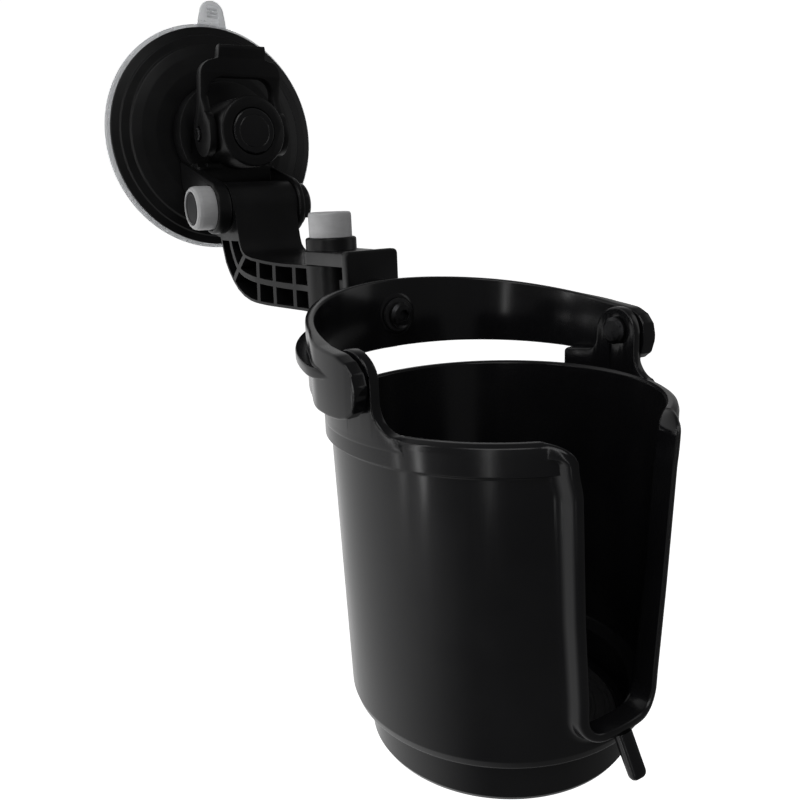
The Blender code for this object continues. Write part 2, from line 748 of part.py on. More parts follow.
def cup(material):
    body = lathe("cup_body", "Z", (0, CUP_Y, RIM_Z), cup_profile(), 76)
    ears = tube("cup_ears", 44.6, 47.4, RIM_Z - 5, RIM_Z + 24)
    outline = [(-9.6, 7.0)] + circle(-2.0, 11.6, 7.6, 15, 180, 0)
    outline += circle(9.1, 9.0, 3.5, 5, 180, 262) + circle(15.0, 3.8, 1.4, 4, 90, 0)
    outline += [(16.4, -4.0), (-18.5, -4.0)]
    outline += circle(-16.6, 7.0, 7.0, 7, 278, 360)
    keep(ears, prism("cup_ears_outline", "X", from_cup(outline), -70, 70))
    lip = lathe(
        "cup_lip",
        "Z",
        (0, CUP_Y, RIM_Z),
        [(44.4, -0.9), (50.0, -0.9), (49.8, -20), (47.9, -84), (42.8, -84)],
        76,
        closed=True,
    )
    keep(lip, prism("cup_lip_outline", "Y", slot_outline(2.6), CUP_Y - 70, CUP_Y - 20))
    peg_side = hull(circle(-46.9, -79.0, 2.0, 16) + circle(-51.7, -87.4, 1.8, 16))
    peg = prism("cup_peg", "X", from_cup(peg_side), -2.4, 2.4)
    soften(peg, 0.7, 1, 50)
    union(body, ears, lip, peg)
    cut(
        body,
        prism("cup_slot", "Y", slot_outline(0), CUP_Y - 80, CUP_Y - 15),
        rod("cup_pin_hole", "X", CUP_PIVOT_Y, CUP_PIVOT_Z, 2.4, -60, 60, 28),
    )
    for number, angle in enumerate((45, 135, 225, 315)):
        x = 22 * math.cos(math.radians(angle))
        y = CUP_Y + 22 * math.sin(math.radians(angle))
        cut(body, rod(f"cup_drain_{number}", "Z", x, y, 2.6, RIM_Z - 105, RIM_Z - 90, 20))
    finish(body, material)


def cup_pins(material):
    """A pin on each side, with its head inside the ear and its end in the ring's pad."""
    for name, side in (("cup_pin_left", -1), ("cup_pin_right", 1)):
        profile = [(0, 42.0), (3.0, 42.2), (4.0, 43.0), (4.0, 43.8), (2.1, 43.8), (2.1, 47.6)]
        profile += [(2.6, 47.9), (2.6, 50.4), (2.2, 50.7), (0, 50.7)]
        pin = lathe(name, "X", (0, CUP_PIVOT_Y, CUP_PIVOT_Z), [(r, side * x) for r, x in profile], 28)
        finish(pin, material)


def cup_mat(material):
    profile = [(0, -96.4), (33.6, -96.4), (34.0, -96.0), (34.0, -95.2), (33.4, -94.8), (0, -94.8)]
    finish(lathe("cup_mat", "Z", (0, CUP_Y, RIM_Z), profile, 44), material)


clear_scene()
CUTTERS = make_collection("cutters", hidden=True)
BLACK = make_material("gloss_black_abs", (0.012, 0.012, 0.013), 0.22)
HUB_BLACK = make_material("satin_black_abs", (0.018, 0.018, 0.02), 0.35)
PAD_CLEAR = make_material("clear_pvc", (0.72, 0.73, 0.74), 0.25, alpha=0.8)
BUTTON_GREY = make_material("grey_button", (0.55, 0.56, 0.57), 0.35)
DISC_DARK = make_material("disc_dark", (0.05, 0.05, 0.055), 0.4)
NYLON = make_material("dark_nylon", (0.03, 0.03, 0.032), 0.5)
STEEL = make_material("zinc_steel", (0.55, 0.56, 0.58), 0.3, metal=1.0)
BLACK_STEEL = make_material("black_oxide", (0.03, 0.03, 0.032), 0.35, metal=1.0)
BRASS = make_material("brass_insert", (0.72, 0.52, 0.22), 0.3, metal=1.0)
RUBBER = make_material("black_rubber", (0.02, 0.02, 0.02), 0.7)

suction_pad(PAD_CLEAR)
pad_stem(NYLON)
cover_dish(HUB_BLACK)
hub_block(HUB_BLACK)
boss_cap(BLACK)
cam_lever(HUB_BLACK)
lever_pin(BLACK_STEEL)
tilt_joint(BUTTON_GREY, DISC_DARK, NYLON, STEEL, BLACK)
j_arm(HUB_BLACK)
swing_joint(BUTTON_GREY, DISC_DARK, NYLON, STEEL)
link_bracket(HUB_BLACK)
ring_mount(BRASS, BLACK_STEEL, NYLON)
gimbal_ring(BLACK)
cup(BLACK)
cup_pins(BLACK_STEEL)
cup_mat(RUBBER)
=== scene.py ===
"""The looks of the suction-mounted drink holder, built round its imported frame.

Lengths are written in millimetres and scaled once, when a mesh is made. Their Y counts from
a plane 5 mm behind the glass face, and GLASS_Y is that face in them.
"""
import math

import bmesh
import bpy
from mathutils import Matrix, Vector


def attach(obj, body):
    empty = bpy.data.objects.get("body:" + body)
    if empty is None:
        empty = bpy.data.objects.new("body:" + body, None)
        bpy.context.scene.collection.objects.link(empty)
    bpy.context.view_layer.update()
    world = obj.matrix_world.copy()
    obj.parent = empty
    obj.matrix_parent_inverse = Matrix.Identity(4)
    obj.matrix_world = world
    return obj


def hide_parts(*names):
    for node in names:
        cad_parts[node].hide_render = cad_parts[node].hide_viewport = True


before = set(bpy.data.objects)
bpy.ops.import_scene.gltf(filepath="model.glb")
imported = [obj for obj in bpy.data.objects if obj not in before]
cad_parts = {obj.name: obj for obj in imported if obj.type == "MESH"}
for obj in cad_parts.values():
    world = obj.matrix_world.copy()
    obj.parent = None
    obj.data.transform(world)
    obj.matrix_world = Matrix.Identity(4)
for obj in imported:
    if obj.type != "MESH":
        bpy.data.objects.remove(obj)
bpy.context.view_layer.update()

MM = 0.001
GLASS_Y = -5.0

# ---- Dimensions repeated from the CAD --------------------------------------------------
PAD_R = 46.3
COVER_R = 44.75
TAB_ANGLE = 4.3
TILT_Y = -44.5
TILT_Z = -28.6
SWING_Y = -105.2
RING_Z = -62.9
CUP_Y = -193.5
RIM_Z = -80.0
RING_IN = 48.4
RING_OUT = 50.9
CUP_PIVOT_Y = CUP_Y - 2.2
CUP_PIVOT_Z = RIM_Z + 12.3
SLOT_FLOOR = -76.0
SLOT_CORNER = 5.2


# ---- Mesh helpers ----------------------------------------------------------------------
def link(obj):
    bpy.context.scene.collection.objects.link(obj)
    return obj


def mesh_object(name, verts, faces):
    mesh = bpy.data.meshes.new(name)
    mesh.from_pydata([(x * MM, (y - GLASS_Y) * MM, z * MM) for x, y, z in verts], [], list(faces))
    mesh.update()
    face_out(mesh)
    return link(bpy.data.objects.new(name, mesh))


def face_out(mesh):
    """Welds the seams and turns the faces outwards."""
    work = bmesh.new()
    work.from_mesh(mesh)
    bmesh.ops.remove_doubles(work, verts=work.verts, dist=1e-7)
    bmesh.ops.recalc_face_normals(work, faces=work.faces)
    if work.calc_volume(signed=True) < 0:
        bmesh.ops.reverse_faces(work, faces=work.faces)
    work.to_mesh(mesh)
    work.free()


def smooth(obj, angle=32.0):
    """Smooth shading with the edges above an angle kept sharp."""
    mesh = obj.data
    for polygon in mesh.polygons:
        polygon.use_smooth = True
    mesh.set_sharp_from_angle(angle=math.radians(angle))
    return obj


def realise(obj):
    """The object with its modifiers turned into mesh."""
    bpy.context.view_layer.update()
    graph = bpy.context.evaluated_depsgraph_get()
    mesh = bpy.data.meshes.new_from_object(obj.evaluated_get(graph))
    obj.modifiers.clear()
    obj.data = mesh
    return obj


def join(target, *others):
    """The other meshes put into the target's mesh, as separate shells."""
    work = bmesh.new()
    for obj in (target, *others):
        work.from_mesh(obj.data)
    work.to_mesh(target.data)
    work.free()
    for obj in others:
        bpy.data.objects.remove(obj)
    return target


def combine(target, cutter, operation):
    """A Boolean on the target. The cutter is removed."""
    boolean = target.modifiers.new(operation.lower(), "BOOLEAN")
    boolean.operation = operation
    boolean.solver = "EXACT"
    boolean.object = cutter
    realise(target)
    bpy.data.objects.remove(cutter)
    return target


def cut(target, *others):
    for other in others:
        combine(target, other, "DIFFERENCE")
    return target


def keep(target, *others):
    for other in others:
        combine(target, other, "INTERSECT")
    return target


def tidy(obj, merge=0.02, flat=0.6):
    """Drops tiny edges and merges flat neighbours, so that a bevel runs cleanly."""
    work = bmesh.new()
    work.from_mesh(obj.data)
    bmesh.ops.remove_doubles(work, verts=work.verts, dist=merge * MM)
    bmesh.ops.dissolve_degenerate(work, edges=work.edges, dist=1e-6)
    bmesh.ops.dissolve_limit(
        work,
        angle_limit=math.radians(flat),
        use_dissolve_boundaries=False,
        verts=work.verts,
        edges=work.edges,
    )
    work.to_mesh(obj.data)
    work.free()
    return obj


def bevel(obj, width, segments=2, angle=35.0, clamp=False):
    """Rounds the edges above an angle."""
    made = obj.modifiers.new("bevel", "BEVEL")
    made.width = width * MM
    made.segments = segments
    made.limit_method = "ANGLE"
    made.angle_limit = math.radians(angle)
    made.use_clamp_overlap = clamp
    made.miter_outer = "MITER_ARC"
    return realise(obj)


def place(axis, u, v, w):
    """A point from its place along the axis (w) and its two other coordinates, in X, Y, Z order."""
    return {"X": (w, u, v), "Y": (u, w, v), "Z": (u, v, w)}[axis]


def prism(name, axis, outline, low, high):
    """An outline swept from low to high along an axis."""
    outline = list(outline)
    n = len(outline)
    verts = [place(axis, u, v, low) for u, v in outline]
    verts += [place(axis, u, v, high) for u, v in outline]
    faces = [tuple(range(n)), tuple(range(n, 2 * n))]
    faces += [(i, (i + 1) % n, n + (i + 1) % n, n + i) for i in range(n)]
    return mesh_object(name, verts, faces)


def circle(cu, cv, radius, count=64, start=0.0, end=360.0):
    """Points on a circle, or on an arc when the ends are given."""
    whole = abs(end - start) >= 360.0
    steps = count if whole else count - 1
    points = []
    for i in range(count):
        angle = math.radians(start + (end - start) * i / steps)
        points.append((cu + radius * math.cos(angle), cv + radius * math.sin(angle)))
    return points


def rounded_box(u0, v0, u1, v1, radius, count=8):
    points = []
    for cu, cv, start in (
        (u1 - radius, v0 + radius, -90),
        (u1 - radius, v1 - radius, 0),
        (u0 + radius, v1 - radius, 90),
        (u0 + radius, v0 + radius, 180),
    ):
        points += circle(cu, cv, radius, count, start, start + 90)
    return points


def rod(name, axis, cu, cv, radius, low, high, count=96):
    return prism(name, axis, circle(cu, cv, radius, count), low, high)


def fillet(points, steps=5):
    """Profile points (u, v) or (u, v, radius), with an arc at each one that has a radius."""
    made = []
    for i, point in enumerate(points):
        radius = point[2] if len(point) > 2 else 0.0
        u, v = point[0], point[1]
        if not radius or i in (0, len(points) - 1):
            made.append((u, v))
            continue
        before, after = points[i - 1], points[i + 1]
        ax, ay = before[0] - u, before[1] - v
        bx, by = after[0] - u, after[1] - v
        la, lb = math.hypot(ax, ay), math.hypot(bx, by)
        ax, ay, bx, by = ax / la, ay / la, bx / lb, by / lb
        half = math.acos(max(-1.0, min(1.0, ax * bx + ay * by))) / 2
        if half > 1.55:
            made.append((u, v))
            continue
        reach = min(radius / math.tan(half), 0.48 * la, 0.48 * lb)
        for k in range(steps + 1):
            t = k / steps
            w0, w1, w2 = (1 - t) ** 2, 2 * t * (1 - t), t * t
            made.append(
                (
                    w0 * (u + ax * reach) + w1 * u + w2 * (u + bx * reach),
                    w0 * (v + ay * reach) + w1 * v + w2 * (v + by * reach),
                )
            )
    return made


def revolve(name, axis, centre, profile, steps=128, closed=False):
    """A profile of (radius, height) turned about an axis through the centre."""
    rows = list(profile)
    verts, index = [], []
    for r, h in rows:
        if r < 1e-6:
            index.append([len(verts)] * steps)
            verts.append((0.0, 0.0, h))
            continue
        index.append(list(range(len(verts), len(verts) + steps)))
        for k in range(steps):
            angle = 2 * math.pi * k / steps
            verts.append((r * math.cos(angle), r * math.sin(angle), h))
    faces = []
    pairs = list(zip(index, index[1:]))
    if closed:
        pairs.append((index[-1], index[0]))
    for a, b in pairs:
        for k in range(steps):
            m = (k + 1) % steps
            face = []
            for corner in (a[k], a[m], b[m], b[k]):
                if corner not in face:
                    face.append(corner)
            if len(face) > 2:
                faces.append(face)
    turned = []
    for x, y, z in verts:
        if axis == "X":
            x, y, z = z, x, y
        elif axis == "Y":
            x, y, z = y, z, x
        turned.append((x + centre[0], y + centre[1], z + centre[2]))
    return mesh_object(name, turned, faces)


def skin(name, sections, loop=False):
    """Closed sections of the same length joined one after another, with caps at the ends."""
    n = len(sections[0])
    verts = [point for section in sections for point in section]
    faces = []
    count = len(sections)
    for i in range(count if loop else count - 1):
        a, b = i * n, ((i + 1) % count) * n
        faces += [(a + k, a + (k + 1) % n, b + (k + 1) % n, b + k) for k in range(n)]
    if not loop:
        faces += [tuple(range(n)), tuple(range((count - 1) * n, count * n))]
    return mesh_object(name, verts, faces)


def refined(node, width, segments=2, angle=35.0, smooth_angle=32.0):
    """A copy of a CAD node with its seams welded, and its edges rounded where width is given."""
    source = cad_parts[node]
    mesh = source.data.copy()
    stored = mesh.attributes.get("custom_normal")
    if stored:
        mesh.attributes.remove(stored)
    obj = link(bpy.data.objects.new(node + "_shown", mesh))
    work = bmesh.new()
    work.from_mesh(mesh)
    bmesh.ops.remove_doubles(work, verts=work.verts, dist=2e-6)
    bmesh.ops.recalc_face_normals(work, faces=work.faces)
    work.to_mesh(mesh)
    work.free()
    if width:
        tidy(obj)
        bevel(obj, width, segments, angle)
    return smooth(obj, smooth_angle)


def ease(value, low, high):
    """0 below low, 1 above high, smooth between."""
    t = max(0.0, min(1.0, (value - low) / (high - low)))
    return t * t * (3 - 2 * t)


def between(table, x):
    """The value at x of the straight pieces through (x, value) pairs."""
    if x <= table[0][0]:
        return table[0][1]
    for (x0, v0), (x1, v1) in zip(table, table[1:]):
        if x <= x1:
            return v0 + (v1 - v0) * (x - x0) / (x1 - x0)
    return table[-1][1]


# ---- Materials -------------------------------------------------------------------------
class Nodes:
    """A short way to wire one material."""

    def __init__(self, name, colour, rough, metal=0.0):
        self.material = bpy.data.materials.new(name)
        self.material.use_nodes = True
        self.tree = self.material.node_tree
        self.shader = self.tree.nodes["Principled BSDF"]
        self.put("Base Color", (*colour, 1.0))
        self.put("Roughness", rough)
        self.put("Metallic", metal)
        self.coords = self.tree.nodes.new("ShaderNodeTexCoord").outputs["Object"]
        self.material.diffuse_color = (*colour, 1.0)

    def put(self, socket, value):
        self.shader.inputs[socket].default_value = value

    def link(self, a, b):
        self.tree.links.new(a, b)

    def noise(self, scale, detail=3.0, stretch=(1, 1, 1), rough=0.5):
        mapping = self.tree.nodes.new("ShaderNodeMapping")
        mapping.inputs["Scale"].default_value = stretch
        self.link(self.coords, mapping.inputs["Vector"])
        noise = self.tree.nodes.new("ShaderNodeTexNoise")
        noise.inputs["Scale"].default_value = scale
        noise.inputs["Detail"].default_value = detail
        noise.inputs["Roughness"].default_value = rough
        self.link(mapping.outputs["Vector"], noise.inputs["Vector"])
        return noise.outputs["Fac"]

    def range(self, source, low, high, first=0.3, last=0.7):
        made = self.tree.nodes.new("ShaderNodeMapRange")
        made.inputs["From Min"].default_value = first
        made.inputs["From Max"].default_value = last
        made.inputs["To Min"].default_value = low
        made.inputs["To Max"].default_value = high
        self.link(source, made.inputs["Value"])
        return made.outputs["Result"]

    def add(self, a, b, operation="ADD"):
        made = self.tree.nodes.new("ShaderNodeMath")
        made.operation = operation
        self.link(a, made.inputs[0])
        self.link(b, made.inputs[1])
        return made.outputs[0]

    def mix(self, factor, dark, light):
        made = self.tree.nodes.new("ShaderNodeMix")
        made.data_type = "RGBA"
        made.inputs["A"].default_value = (*dark, 1.0)
        made.inputs["B"].default_value = (*light, 1.0)
        self.link(factor, made.inputs["Factor"])
        return made.outputs["Result"]

    def relief(self, layers, edge=0.0):
        """Bump from (height, distance in mm, strength) layers. Edges are rounded by edge, in mm."""
        normal = None
        if edge:
            made = self.tree.nodes.new("ShaderNodeBevel")
            made.samples = 4
            made.inputs["Radius"].default_value = edge * MM
            normal = made.outputs["Normal"]
        for height, distance, strength in layers:
            bump = self.tree.nodes.new("ShaderNodeBump")
            bump.inputs["Strength"].default_value = strength
            bump.inputs["Distance"].default_value = distance * MM
            self.link(height, bump.inputs["Height"])
            if normal:
                self.link(normal, bump.inputs["Normal"])
            normal = bump.outputs["Normal"]
        self.link(normal, self.shader.inputs["Normal"])


def gloss_black():
    """Polished moulded ABS: deep black, faint haze, flow lines along the draw."""
    n = Nodes("gloss_black_abs", (0.008, 0.008, 0.009), 0.17)
    n.put("Specular IOR Level", 0.42)
    haze = n.noise(38, 4.0)
    lines = n.noise(90, 2.0, (6, 6, 0.12))
    colour = n.mix(n.range(haze, 0, 1), (0.006, 0.006, 0.007), (0.011, 0.011, 0.012))
    n.link(colour, n.shader.inputs["Base Color"])
    n.link(n.add(n.range(haze, 0.12, 0.2), n.range(lines, 0.0, 0.04)), n.shader.inputs["Roughness"])
    sink, grain = n.noise(26, 1.0, (1, 1, 0.35)), n.noise(1500, 2.0)
    n.relief([(sink, 0.10, 0.35), (grain, 0.004, 0.3)], edge=0.25)
    return n.material


def satin_black():
    """Spark-textured ABS of the head and arms."""
    n = Nodes("satin_black_abs", (0.006, 0.006, 0.007), 0.36)
    n.put("Specular IOR Level", 0.28)
    grain = n.noise(1900, 3.0, rough=0.6)
    haze = n.noise(60, 4.0)
    colour = n.mix(n.range(haze, 0, 1), (0.005, 0.005, 0.0055), (0.009, 0.009, 0.0095))
    n.link(colour, n.shader.inputs["Base Color"])
    rough = n.add(n.range(haze, 0.27, 0.36), n.range(grain, 0.0, 0.08))
    n.link(rough, n.shader.inputs["Roughness"])
    n.relief([(grain, 0.02, 0.35)], edge=0.3)
    return n.material


def clear_pvc():
    """Soft translucent vinyl with a faint milky cloud."""
    n = Nodes("clear_pvc", (0.80, 0.81, 0.82), 0.22)
    n.put("Transmission Weight", 0.45)
    n.put("IOR", 1.45)
    n.put("Subsurface Weight", 0.25)
    n.put("Subsurface Radius", (0.004, 0.004, 0.004))
    cloud = n.noise(70, 4.0)
    colour = n.mix(n.range(cloud, 0, 1), (0.74, 0.75, 0.77), (0.84, 0.85, 0.86))
    n.link(colour, n.shader.inputs["Base Color"])
    n.link(n.range(cloud, 0.18, 0.34), n.shader.inputs["Roughness"])
    n.relief([(n.noise(300, 2.0), 0.02, 0.3)], edge=0.2)
    return n.material


def grey_button():
    """Matt off-white acetal with light handling marks."""
    n = Nodes("grey_button", (0.52, 0.52, 0.53), 0.42)
    n.put("Subsurface Weight", 0.12)
    n.put("Subsurface Radius", (0.0015, 0.0015, 0.0015))
    grain = n.noise(1400, 3.0)
    marks = n.noise(140, 5.0, (1, 1, 3), 0.65)
    colour = n.mix(n.range(marks, 0, 1, 0.35, 0.75), (0.66, 0.66, 0.67), (0.56, 0.56, 0.565))
    n.link(colour, n.shader.inputs["Base Color"])
    n.link(n.range(marks, 0.36, 0.52), n.shader.inputs["Roughness"])
    n.relief([(grain, 0.012, 0.3)], edge=0.25)
    return n.material


def disc_dark():
    """The recessed face of a button: dark, with a faint haze and a fine grain."""
    n = Nodes("disc_dark", (0.02, 0.02, 0.022), 0.4)
    n.put("Specular IOR Level", 0.08)
    haze = n.noise(120, 4.0)
    colour = n.mix(n.range(haze, 0, 1), (0.016, 0.016, 0.018), (0.028, 0.028, 0.030))
    n.link(colour, n.shader.inputs["Base Color"])
    n.link(n.range(haze, 0.32, 0.5), n.shader.inputs["Roughness"])
    n.relief([(n.noise(900, 3.0), 0.02, 0.4)], edge=0.2)
    return n.material


def dark_nylon():
    """Slightly waxy, drier than the housings."""
    n = Nodes("dark_nylon", (0.022, 0.022, 0.024), 0.5)
    grain = n.noise(1100, 4.0)
    colour = n.mix(n.range(grain, 0, 1), (0.018, 0.018, 0.019), (0.028, 0.028, 0.030))
    n.link(colour, n.shader.inputs["Base Color"])
    n.link(n.range(grain, 0.44, 0.58), n.shader.inputs["Roughness"])
    n.relief([(grain, 0.02, 0.4)], edge=0.15)
    return n.material


def zinc_steel():
    """Bright zinc plate with a drawn grain."""
    n = Nodes("zinc_steel", (0.56, 0.57, 0.59), 0.28, 1.0)
    grain = n.noise(500, 3.0, (0.15, 1, 1))
    cloud = n.noise(240, 4.0)
    colour = n.mix(n.range(cloud, 0, 1), (0.46, 0.47, 0.50), (0.64, 0.65, 0.66))
    n.link(colour, n.shader.inputs["Base Color"])
    n.link(n.range(grain, 0.2, 0.4), n.shader.inputs["Roughness"])
    n.relief([(grain, 0.01, 0.4)], edge=0.15)
    return n.material


def black_steel():
    """Black-oxide screw and pin heads."""
    n = Nodes("black_oxide", (0.03, 0.03, 0.032), 0.32, 0.85)
    grain = n.noise(700, 3.0)
    colour = n.mix(n.range(grain, 0, 1), (0.024, 0.024, 0.026), (0.05, 0.05, 0.052))
    n.link(colour, n.shader.inputs["Base Color"])
    n.link(n.range(grain, 0.26, 0.42), n.shader.inputs["Roughness"])
    n.relief([(grain, 0.01, 0.4)], edge=0.15)
    return n.material


def brass():
    n = Nodes("brass_insert", (0.72, 0.52, 0.22), 0.3, 1.0)
    cloud = n.noise(400, 4.0)
    colour = n.mix(n.range(cloud, 0, 1), (0.60, 0.42, 0.17), (0.78, 0.58, 0.27))
    n.link(colour, n.shader.inputs["Base Color"])
    n.link(n.range(cloud, 0.24, 0.42), n.shader.inputs["Roughness"])
    n.relief([(cloud, 0.01, 0.4)], edge=0.1)
    return n.material


def rubber():
    """Dull moulded rubber with a fine open grain."""
    n = Nodes("black_rubber", (0.016, 0.016, 0.017), 0.75)
    grain = n.noise(900, 5.0, rough=0.6)
    colour = n.mix(n.range(grain, 0, 1), (0.012, 0.012, 0.013), (0.026, 0.026, 0.027))
    n.link(colour, n.shader.inputs["Base Color"])
    n.link(n.range(grain, 0.66, 0.85), n.shader.inputs["Roughness"])
    n.relief([(grain, 0.05, 0.5)], edge=0.2)
    return n.material


MATERIALS = {
    "gloss_black_abs": gloss_black(),
    "satin_black_abs": satin_black(),
    "clear_pvc": clear_pvc(),
    "grey_button": grey_button(),
    "disc_dark": disc_dark(),
    "dark_nylon": dark_nylon(),
    "zinc_steel": zinc_steel(),
    "black_oxide": black_steel(),
    "brass_insert": brass(),
    "black_rubber": rubber(),
}


def show(obj, slot, body, *nodes):
    """Gives a piece its finish and its body, and hides the CAD nodes it stands for."""
    obj.data.materials.clear()
    obj.data.materials.append(MATERIALS[slot])
    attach(obj, body)
    if nodes:
        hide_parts(*nodes)
    return obj


# ---- Suction head ----------------------------------------------------------------------
def suction_pad():
    profile = [
        (0, -5.0),
        (PAD_R - 0.8, -5.0),
        (PAD_R - 0.15, -5.25),
        (PAD_R, -5.7),
        (PAD_R, -6.2),
        (PAD_R - 0.5, -6.75),
        (PAD_R - 1.4, -7.0),
        (41, -7.2),
        (36, -7.4),
        (26, -8.2),
        (18, -9.0),
        (15, -9.9),
        (13, -11.0),
        (12.2, -12.0),
        (12, -13.0),
        (4.7, -13.0),
        (4.7, -12.0),
        (8.4, -12.0),
        (8.4, -7.6),
        (0, -7.6),
    ]
    pad = revolve("suction_pad_skin", "Y", (0, 0, 0), profile, 160)
    angle = math.radians(90 - TAB_ANGLE)
    ca, sa = math.cos(angle), math.sin(angle)

    def turned(flat):
        return [(u * ca - v * sa, u * sa + v * ca) for u, v in flat]

    flat = [(42.0, -6.8), (48.0, -5.9)]
    flat += circle(50.6, 0.0, 5.25, 30, -72, 72)
    flat += [(48.0, 5.9), (42.0, 6.8)]
    tab = prism("tab", "Y", turned(flat), -6.8, -5.4)
    bevel(tab, 0.3, 3)
    cut(tab, prism("tab_press", "Y", turned(rounded_box(48.0, -2.8, 54.0, 2.8, 0.9)), -7.3, -6.5))
    bars = []
    for k in range(3):
        low = 49.2 + 1.45 * k
        outline = turned(rounded_box(low, -2.1, low + 0.7, 2.1, 0.3, 4))
        bars.append(prism("bar", "Y", outline, -6.75, -6.4))
    join(pad, tab, *bars)
    smooth(pad)
    show(pad, "clear_pvc", "head", "suction_pad")


def cover_dish():
    """Two stepped bands at the rim, then a smooth dome with a flat top and a hole for the stem."""
    profile = fillet(
        [
            (42.6, -7.6),
            (COVER_R, -7.6, 0.3),
            (COVER_R, -9.0, 0.5),
            (41.6, -9.9, 0.4),
            (41.1, -10.7, 0.4),
            (37.9, -11.3, 0.4),
            (37.3, -12.3, 0.7),
            (33.5, -13.5, 6),
            (28.0, -14.7, 8),
            (22.5, -15.3, 6),
            (5.0, -15.3, 0.4),
            (5.0, -13.4),
            (23.0, -13.3),
            (31.0, -12.0),
            (36.0, -10.3),
        ],
        6,
    )
    dish = revolve("cover_dish_skin", "Y", (0, 0, 0), profile, 160, closed=True)
    smooth(dish)
    show(dish, "satin_black_abs", "head", "cover_dish")


def boss_cap():
    """The boss's face plate: a shallow crown inside a fine groove."""
    profile = fillet(
        [
            (0, -47.1),
            (8.6, -47.1),
            (8.6, -48.6, 0.35),
            (8.1, -49.0, 0.3),
            (6.4, -49.05, 0.1),
            (6.2, -48.9, 0.08),
            (6.0, -49.07, 0.1),
            (0, -49.28),
        ]
    )
    cap = revolve("boss_cap_skin", "Y", (0, 0, 0), profile, 96)
    smooth(cap)
    show(cap, "gloss_black_abs", "head", "boss_cap")


# ---- Buttons ---------------------------------------------------------------------------
def tilt_button():
    profile = fillet(
        [
            (0, -26.2),
            (6.5, -26.2, 0.2),
            (6.5, -27.5, 0.3),
            (7.3, -27.3, 0.6),
            (8.1, -26.5, 0.8),
            (8.4, -25.2, 0.8),
            (8.4, -18.2, 0.2),
            (6.6, -18.2),
            (6.6, -24.2),
            (0, -24.2),
        ]
    )
    button = revolve("tilt_button_skin", "X", (0, TILT_Y, TILT_Z), profile, 112)
    smooth(button)
    show(button, "grey_button", "tilt_push", "tilt_button")
    face = [(0, -27.0), (4.8, -27.1, 1.0), (5.5, -27.3, 0.2), (6.0, -27.2, 0.2)]
    face = fillet(face + [(6.2, -26.9, 0.1), (6.2, -26.5), (0, -26.5)])
    disc = revolve("tilt_button_disc_skin", "X", (0, TILT_Y, TILT_Z), face, 96)
    smooth(disc)
    show(disc, "disc_dark", "tilt_push", "tilt_button_disc")


def tilt_end_cap():
    profile = [(0, 21.4), (7.2, 21.4, 0.8), (8.6, 20.2, 0.8), (8.8, 17.3, 0.2)]
    profile = fillet(profile + [(5.4, 17.3), (5.4, 19.5), (0, 19.5)])
    cap = revolve("tilt_end_cap_skin", "X", (0, TILT_Y, TILT_Z), profile, 96)
    step = rounded_box(18.6, TILT_Y - 12, 26, TILT_Y + 12, 0.5, 3)
    cut(cap, prism("step", "Z", step, TILT_Z - 12, TILT_Z - 5.6))
    tidy(cap, 0.01, 0.05)
    smooth(cap)
    show(cap, "gloss_black_abs", "head", "tilt_end_cap")


def swing_button():
    profile = fillet(
        [
            (0, -32.2),
            (5.8, -32.2, 0.2),
            (5.8, -31.1, 0.3),
            (6.9, -31.2, 0.5),
            (7.4, -31.7, 0.5),
            (7.5, -32.6, 0.5),
            (7.5, -41.4, 0.2),
            (6.0, -41.4),
            (6.0, -33.9),
            (0, -33.9),
        ]
    )
    button = revolve("swing_button_skin", "Z", (0, SWING_Y, 0), profile, 112)
    smooth(button)
    show(button, "grey_button", "swing_push", "swing_button")
    face = [(0, -31.35), (4.6, -31.3, 0.4), (5.2, -31.4, 0.3)]
    face = fillet(face + [(5.5, -31.6, 0.2), (5.5, -31.9), (0, -31.9)])
    disc = revolve("swing_button_disc_skin", "Z", (0, SWING_Y, 0), face, 96)
    smooth(disc)
    show(disc, "grey_button", "swing_push", "swing_button_disc")


# ---- Ring ------------------------------------------------------------------------------
# (distance behind the cup's axis, height over the rim) along the ring's top and bottom edges.
RING_TOP = [(-10.3, 12.0), (-9.6, 14.8), (-7.4, 17.2), (-4, 18.7), (0, 19.2), (4, 19.7)]
RING_TOP += [(10, 20.8), (18, 22.2)]
RING_TOP += [(27, 23.9), (38.6, 26.1), (47, 27.6), (51, 28.4)]
RING_LOW = [(-10.3, 9.6), (-10.2, 8.6), (-9.2, 5.6), (-7, 3.9), (-4, 3.2), (0, 3.1)]
RING_LOW += [(10, 3.7), (20, 4.8)]
RING_LOW += [(31, 5.6), (40, 6.2), (46, 6.6), (51, 6.8)]


def ring_sections(inner, outer, low, high, turns, corner):
    """Rounded upright sections round the cup's axis. The limits are functions of the turn from +Y."""
    sections = []
    for angle in turns:
        r0, r1, z0, z1 = inner(angle), outer(angle), low(angle), high(angle)
        corner_here = min(corner, 0.49 * (r1 - r0), 0.49 * (z1 - z0))
        sections.append(
            [
                (r * math.sin(angle), CUP_Y + r * math.cos(angle), RIM_Z + z)
                for r, z in rounded_box(r0, z0, r1, z1, corner_here, 5)
            ]
        )
    return sections


